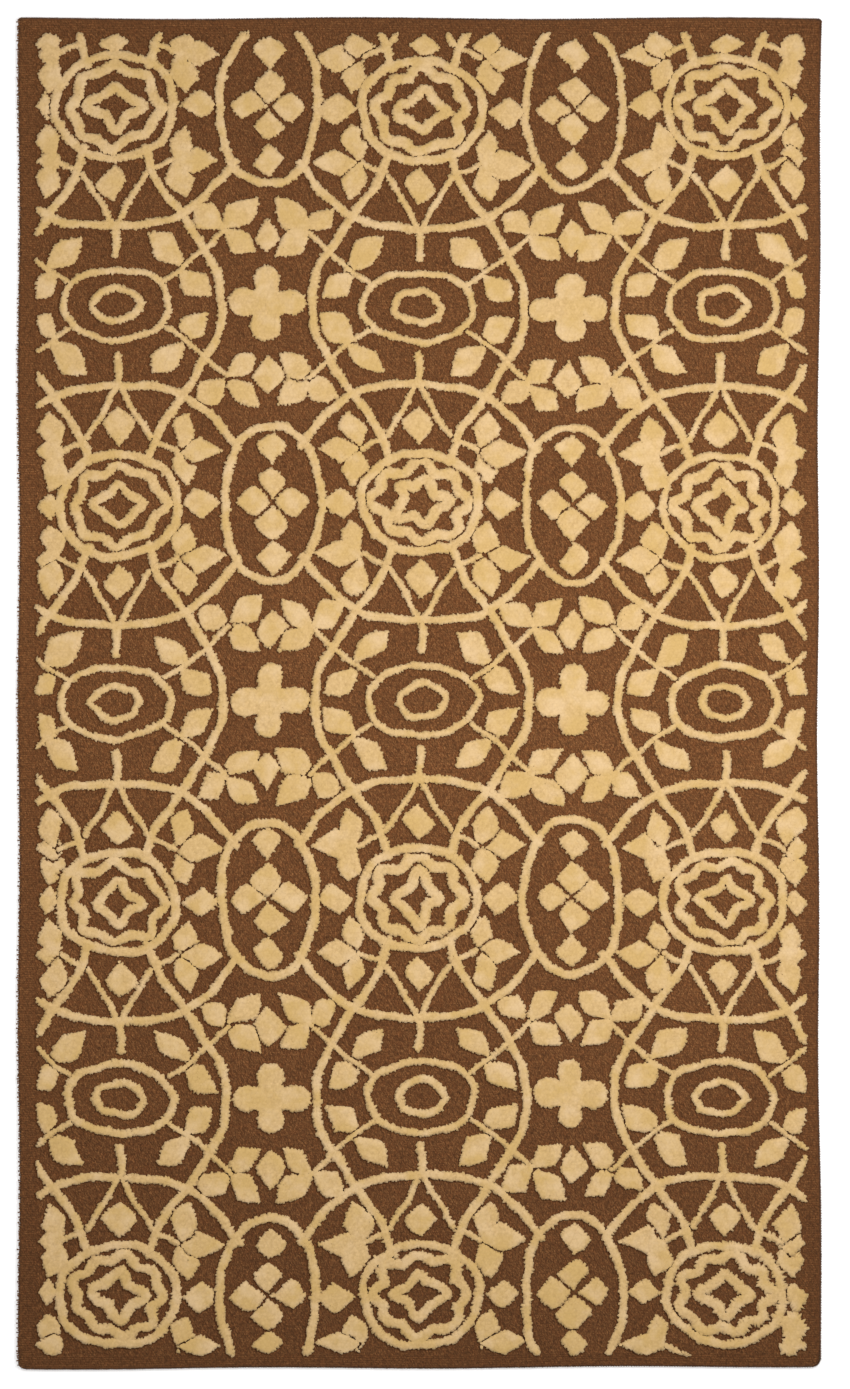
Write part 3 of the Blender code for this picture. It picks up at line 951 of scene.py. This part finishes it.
# %% brown wool
def brown_wool(name, dark, light, warm):
    paint = Paint(name, 0.95, Sheen_Weight=0.05, Sheen_Roughness=0.6, Specular_IOR_Level=0.12)
    drift = paint.spread(paint.noise(7.0, 3.0), 0.35, 0.65)
    tuft = paint.number("tuft")
    fleck = paint.spread(paint.noise(640.0, 1.0, long=2.0, turn=math.radians(118)), 0.36, 0.64)
    colour = paint.mix(tuft * 0.35 + fleck * 0.55 + drift * 0.1, dark, light)
    reddish = paint.spread(paint.noise(150.0, 3.0, shift=(3, 1, 0)), 0.45, 0.65)
    colour = paint.mix(reddish * 0.30, colour, warm)
    colour = paint.mix(paint.number("root") * 0.35, colour, (0.028, 0.011, 0.004))
    strands = paint.noise(900.0, 1.0, long=3.0, turn=math.radians(118))
    colour = paint.mix(paint.spread(strands, 0.60, 0.38) * 0.55, colour, (0.040, 0.015, 0.005))
    # The brown darkens towards the bottom end of the rug, and a little towards the top end.
    along = paint.node("ShaderNodeSeparateXYZ", {}, {0: paint.place}, output="Y")
    darker_at_ends = paint.spread(along, -0.10, -0.78) * 0.20 + paint.spread(along, 0.20, 0.78) * 0.08
    colour = paint.mix(darker_at_ends, colour, (0.030, 0.015, 0.008))
    paint.colour(colour)
    paint.bump(paint.noise(1500.0, 2.0) + strands, 0.0004, 0.4)
    return paint.material


# %% cream wool
def cream_wool(name):
    paint = Paint(name, 0.95, Sheen_Weight=0.12, Sheen_Roughness=0.6, Specular_IOR_Level=0.15)
    fleck = paint.spread(paint.noise(330.0, 3.0), 0.30, 0.70)
    colour = paint.mix(paint.number("tuft") * 0.4 + fleck * 0.6, (0.56, 0.365, 0.155), (0.76, 0.515, 0.240))
    golden = paint.spread(paint.noise(30.0, 4.0, shift=(5, 2, 0)), 0.38, 0.62)
    colour = paint.mix(golden * 0.65, colour, (0.61, 0.395, 0.128))
    pale = paint.spread(paint.noise(46.0, 4.0, shift=(1, 7, 0)), 0.46, 0.70)
    colour = paint.mix(pale * 0.60, colour, (0.78, 0.560, 0.325))
    colour = paint.mix(paint.number("root") * 0.45, colour, (0.30, 0.165, 0.060))
    # Thin darker lines where the pile parts are painted shade in the partings.
    parting_shade = paint.noise(55.0, 2.0, long=2.5, turn=math.radians(75), shift=(4, 4, 0))
    parting_shade = paint.spread(parting_shade.maths("ABSOLUTE", parting_shade - 0.5), 0.016, 0.004)
    colour = paint.mix(parting_shade * 0.12, colour, (0.36, 0.205, 0.070))
    paint.colour(colour)
    paint.bump(paint.noise(1400.0, 2.0), 0.0004, 0.30)
    return paint.material


# %% foundation cloth
def foundation_cloth(name):
    """A plain weave: two sets of threads, each a wave that goes over and under the other."""
    paint = Paint(name, 0.92, Specular_IOR_Level=0.2)
    bands = [paint.node("ShaderNodeTexWave", {"bands_direction": way, "wave_profile": "SIN"},
                        {"Vector": paint.place, "Scale": 110.0, "Distortion": 1.2, "Detail": 2.0,
                         "Detail Scale": 1.5})
             for way in ("X", "Y")]
    weave = bands[0].maths("MAXIMUM", *bands)
    cloth = paint.mix(weave, (0.20, 0.140, 0.075), (0.46, 0.350, 0.210))
    # On the back, each tuft shows as a short flat stitch, in rows, brown or cream as the drawing goes.
    rows = paint.node("ShaderNodeTexWave", {"bands_direction": "Y", "wave_profile": "SIN"},
                      {"Vector": paint.place, "Scale": 52.36, "Distortion": 1.0, "Detail Scale": 2.0})
    stitch = paint.spread(paint.noise(330.0, 1.0, long=2.5) + rows * 0.45, 0.62, 0.80)
    wool = paint.mix(paint.spread(paint.number("drawing"), -0.0004, 0.0004),
                     (0.120, 0.050, 0.021), (0.62, 0.420, 0.190))
    stitch = stitch * (1 - paint.number("hem"))
    paint.colour(paint.mix(stitch, cloth, wool))
    paint.bump(weave + stitch * 1.5, 0.0004, 0.8)
    return paint.material


GROUND_WOOL = brown_wool("brown_wool",
                         (0.096, 0.035, 0.011), (0.425, 0.186, 0.064), (0.330, 0.105, 0.030))
CREAM_WOOL = cream_wool("cream_wool")
CLOTH = foundation_cloth("foundation_cloth")

# %% [markdown]
# ## The drawing's pile
#
# With the tufts placed and the wool mixed, each family of shapes becomes one piece.

# %% cream pieces
owners = drawing.owner[drawing.cell(caps)]
pile = [cream_mesh(f"{piece}_pile", caps[owners == number], teeth[teeth[:, 4] == number], CREAM_WOOL)
        for number, piece in enumerate(PIECES)]

# %% [markdown]
# ## The ground's pile
#
# The ground is hooked in straight rows from side to side. Each tuft is longer than it is wide and
# lies at a slant that drifts slowly over the rug, so the ground looks like rows of short strokes. In
# the border the tufts lie along the rows, which leaves fine ribs. A tuft is left out where the drawing
# stands. At the edge the outermost tufts lean over the cloth.

# %% ground rows
GROUND_ROW = 0.0026
GROUND_STEP = 0.00213
GROUND_STRAY = (0.0008, 0.0005)
BORDER_STRAY = (0.0008, 0.0001)
GROUND_INSET = 0.0018
EDGE_BAND = 0.0050
UNCOVERED = -0.0003

row_x, row_y = ((np.arange(int(size / step) + 2) - int(size / step) / 2) * step
                for size, step in ((RUG_WIDTH, GROUND_STEP), (RUG_LENGTH, GROUND_ROW)))
ground = staggered(row_x, row_y, GROUND_STEP)
ground = ground[(np.abs(ground) < RUG_HALF - GROUND_INSET).all(axis=1)]
in_border = within_border(ground) < 0
stray = np.where(in_border[:, None], BORDER_STRAY, GROUND_STRAY)
ground += chance.uniform(-1, 1, ground.shape) * stray
past_band = (np.abs(ground) - (RUG_HALF - EDGE_BAND)) / (EDGE_BAND - GROUND_INSET)
edge_lean = np.clip(past_band, 0, 1) * np.sign(ground)
ground = out_of_true(rounded(ground, RUG_HALF - GROUND_INSET, GROUND_INSET))
uncovered = drawing.at(ground) < UNCOVERED
ground, in_border, edge_lean = ground[uncovered], in_border[uncovered], edge_lean[uncovered]


# %% ground tufts
GROUND_HEIGHT = (0.0013, 0.0022)
GROUND_LENGTH = (0.0022, 0.0032)
GROUND_FOOT = GROUND_TOP - 0.0017
EDGE_DROP = 0.0012
SET_BACK = 0.0008
IN_ROWS = {"slant": 0, "loose": 7, "wide": (0.0011, 0.0013)}
ASLANT = {"slant": 118, "loose": 25, "wide": (0.0013, 0.0018)}


def ground_mesh(name, chosen, slant, loose, wide):
    """The brown tufts of one part of the ground. Their slant drifts and strays by loose degrees."""
    place, count = ground[chosen], int(chosen.sum())
    slant = np.radians(slant + loose * drift_over(place, 60, 4) + chance.normal(0, loose, count))
    along = np.stack([np.cos(slant), np.sin(slant), np.zeros(count)], axis=1)
    lean = 0.30 * along[:, :2] + edge_lean[chosen] * 0.9 + chance.normal(0, 0.12, (count, 2))
    axis = unit(np.concatenate([lean, np.ones((count, 1))], axis=1))
    height = chance.uniform(*GROUND_HEIGHT, count)
    low = GROUND_FOOT - EDGE_DROP * np.abs(edge_lean[chosen]).max(axis=1)
    centre = np.column_stack([place - MIDDLE - SET_BACK * along[:, :2], low])
    sizes = (chance.uniform(*GROUND_LENGTH, count), chance.uniform(*wide, count), height)
    return wedge_mesh(name, centre, axis, along, sizes, GROUND_WOOL)


upper = ground[:, 1] >= 0
pile.append(ground_mesh("border_pile", in_border, **IN_ROWS))
pile.append(ground_mesh("ground_pile_upper", ~in_border & upper, **ASLANT))
pile.append(ground_mesh("ground_pile_lower", ~in_border & ~upper, **ASLANT))

# %% [markdown]
# ## The edge
#
# Seen from the side, the rug's edge is wool too: the last tufts lean out over the turned cloth. Three
# rows of short tufts point outwards all round.

# %% edge tufts
EDGE_ROWS = ((0.0016, 0.0022), (0.0014, 0.0040), (0.0020, 0.0058))
EDGE_STEP = 0.0029
EDGE_SIZES = ((0.0017, 0.0021), (0.0012, 0.0015), (0.0012, 0.0017))


def edge_mesh(name):
    """Tufts round the edge: each points outwards, a little up, and lies along the edge."""
    rows = []
    for inset, height in EDGE_ROWS:
        line = outline(inset, EDGE_STEP)
        out = -sideways(line, True)
        rows.append(np.column_stack([line, np.full(len(line), height), out]))
    rows = np.concatenate(rows)
    count = len(rows)
    axis = unit(np.column_stack([rows[:, 3:], np.full(count, 0.15)]) + chance.normal(0, 0.15, (count, 3)))
    along = unit(np.cross(axis, np.column_stack([rows[:, 3:], np.zeros(count)]) + (0, 0, 5)))
    sizes = [chance.uniform(*extent, count) for extent in EDGE_SIZES]
    return wedge_mesh(name, rows[:, :3] - (*MIDDLE, 0), axis, along, sizes, GROUND_WOOL)


pile.append(edge_mesh("edge_pile"))

# %% [markdown]
# ## The bed of the pile
#
# Between the tips one looks down into the shadow between the tufts. A plain dark slab just below the
# tips stands for all those roots: they are real wool, and their darker colour is painted shade.

# %% pile bed
BED_STEP = 0.02
BED = ((0.0032, 0.0012), (0.0017, 0.0020), (0.0014, 0.0050), (0.0030, 0.0068))
# The roots' wool is darker than the pile's wool: painted shade.
ROOTS_AND_SHADE_WOOL = brown_wool("brown_wool_roots_and_shade",
                      (0.150, 0.056, 0.018), (0.210, 0.084, 0.028), (0.180, 0.064, 0.020))


def slab_mesh(name, profile, step, material):
    """A closed slab: the outline at each inset and height of the profile, and a flat top and bottom."""
    loop = outline(0.0, step)
    count = len(loop)
    corners, faces = [], []
    for number, (inset, height) in enumerate(profile):
        corners += [(x, y, height) for x, y in loop * ((RUG_HALF - inset) / RUG_HALF) - MIDDLE]
        if number:
            low, high = (number - 1) * count, number * count
            turn = [(k, (k + 1) % count) for k in range(count)]
            faces += [(low + here, low + there, high + there, high + here) for here, there in turn]
    faces.append(tuple(range(count))[::-1])
    faces.append(tuple(range((len(profile) - 1) * count, len(profile) * count)))
    return plain_piece(name, corners, faces, material)


pile.append(slab_mesh("pile_bed", BED, BED_STEP, ROOTS_AND_SHADE_WOOL))

# %% [markdown]
# ## The foundation cloth
#
# Under everything lies the woven cloth, turned over at its edges and sewn down, so the underside has
# a band of double cloth all round. The rest of the underside shows the back of the hooking: rows of
# short stitches, brown and cream as the drawing goes. The mesh carries the map's depth at each corner,
# and the material turns it into the two colours.

# %% foundation
HEM = 0.025
HEM_LIFT = 0.0006
HEM_SLOPE = 0.002
UNDERSIDE = 0.0001
CLOTH_INSET = 0.0012
CLOTH_STEP = 0.007
CLOTH_EDGE = ((0.0006, 0.0005), (0.0008, 0.0012), (0.0016, 0.0017))
STITCH_DEPTH = 0.006


def foundation_mesh(name):
    """A closed sheet: a fine grid below, a rounded edge, and long strips above, hidden by the pile."""
    across, along = (round(2 * size / CLOTH_STEP) for size in RUG_HALF)
    u, v = np.meshgrid(np.linspace(-1, 1, across + 1), np.linspace(-1, 1, along + 1))
    true = np.stack([u, v], axis=2).reshape(-1, 2)

    def level(inset):
        shape = RUG_HALF - inset
        return out_of_true(rounded(true * shape, shape, inset))

    bottom = level(CLOTH_INSET)
    from_edge = (RUG_HALF - np.abs(true * RUG_HALF)).min(axis=1)
    hem = (from_edge < HEM).astype(float)
    lift = UNDERSIDE + HEM_LIFT * np.clip((from_edge - HEM) / HEM_SLOPE, 0, 1)
    depth = np.clip(drawing.at(bottom), -STITCH_DEPTH, STITCH_DEPTH)
    number = np.arange(len(true)).reshape(along + 1, across + 1)
    quads = np.stack([number[:-1, :-1], number[1:, :-1], number[1:, 1:], number[:-1, 1:]], axis=2)
    rim = np.concatenate([number[0, :-1], number[:-1, -1], number[-1, :0:-1], number[:0:-1, 0]])
    corners = [np.column_stack([bottom - MIDDLE, lift])]
    faces = quads.reshape(-1, 4).tolist()
    previous = rim
    for inset, height in CLOTH_EDGE:
        first = sum(map(len, corners))
        corners.append(np.column_stack([level(inset)[rim] - MIDDLE, np.full(len(rim), height)]))
        current = first + np.arange(len(rim))
        faces += np.stack([previous, np.roll(previous, -1), np.roll(current, -1), current], axis=1).tolist()
        previous = current
    near, right = previous[:across + 1], previous[across:across + along + 1]
    far = previous[across + along:2 * across + along + 1][::-1]
    left = np.concatenate([previous[2 * across + along:], previous[:1]])[::-1]
    faces += np.stack([left[1:-2], right[1:-2], right[2:-1], left[2:-1]], axis=1).tolist()
    faces += [(left[1], near[k], near[k + 1]) for k in range(across)] + [(left[1], near[across], right[1])]
    faces += [(left[-2], far[k + 1], far[k]) for k in range(across)] + [(left[-2], right[-2], far[across])]
    made = plain_piece(name, np.concatenate(corners), faces, CLOTH)
    made.data.polygons.foreach_set("use_smooth", np.ones(len(faces), bool))
    spare = len(made.data.vertices) - len(depth)
    carry(made.data, {"drawing": np.concatenate([depth, np.full(spare, -STITCH_DEPTH)]),
                      "hem": np.concatenate([hem, np.ones(spare)])})
    return made


foundation = foundation_mesh("foundation")

# %% [markdown]
# ## How the pieces belong together
#
# All pieces ride on the rug's only body and stand for its solid. The cloth is a laid sheet, and the
# pile goes with it.

# %% the pieces on the rug's body
for piece in [*pile, foundation]:
    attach(piece, "root")
    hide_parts("rug")

# %% [markdown]
# ## Floor, light and camera
#
# The rug is seen from straight above on a white ground, in soft light. The floor is a wide pale plane.
# A soft light up on the right shapes the pile and falls off towards the far corners, a weaker one on
# the left keeps the shadows open, and the sky fills the rest. The camera has a long lens, so the rug
# keeps its straight sides.

# %% floor
FLOOR_SIZE = 14.0
FLOOR_LINES = 9


def floor_material():
    paint = Paint("pale_floor", 0.9, Specular_IOR_Level=0.1,
                  Emission_Color=(1, 1, 1, 1), Emission_Strength=0.35)
    paint.colour(paint.mix(paint.noise(3.0), (0.90, 0.90, 0.90), (0.92, 0.92, 0.92)))
    paint.bump(paint.noise(60.0), 0.0005, 0.05)
    return paint.material


def plane_mesh(name, size, lines, material):
    """A square grid of lines at height 0: x and y are both linear in the grid's two shares."""
    side = np.linspace(-size / 2, size / 2, lines)
    x, y = np.meshgrid(side, side)
    corners = np.stack([x, y, np.zeros_like(x)], axis=2).reshape(-1, 3)
    number = np.arange(lines**2).reshape(lines, lines)
    faces = np.stack([number[:-1, :-1], number[:-1, 1:], number[1:, 1:], number[1:, :-1]], axis=2)
    return plain_piece(name, corners, faces.reshape(-1, 4).tolist(), material)


floor = plane_mesh("floor", FLOOR_SIZE, FLOOR_LINES, floor_material())

# %% light
def soft_light(name, place, size, power):
    """A square light that looks at the rug's middle."""
    data = bpy.data.lights.new(name, "AREA")
    data.size, data.energy = size, power
    made = put(name, data)
    made.location = place
    made.rotation_euler = Vector(place).to_track_quat("Z", "Y").to_euler()


LIGHT_SIZE = 0.7
SKY_STRENGTH = 0.47

soft_light("right_light", (0.60, 0.20, 1.5), LIGHT_SIZE, 16.8)
soft_light("left_light", (-0.50, 0.20, 1.8), LIGHT_SIZE, 7.5)
world = bpy.data.worlds.new("sky")
world.use_nodes = True
sky = world.node_tree.nodes["Background"].inputs
sky["Color"].default_value = (1.0, 1.0, 1.0, 1.0)
sky["Strength"].default_value = SKY_STRENGTH
bpy.context.scene.world = world
bpy.context.scene.view_settings.view_transform = "Standard"

# %% camera
LENS = 85.0
SENSOR = 36.0
VIEW_HEIGHT = 1.569
VIEW_CENTRE = (0.0057, -0.0011)
VIEW_END = 50.0

camera = put("camera", bpy.data.cameras.new("camera"))
camera.data.sensor_width = SENSOR
camera.data.lens = LENS
camera.data.clip_end = VIEW_END
camera.location = (*VIEW_CENTRE, VIEW_HEIGHT * LENS / SENSOR + DRAWING_TOP)
bpy.context.scene.camera = camera
print("the camera is", round(camera.location.z, 3), "m up")
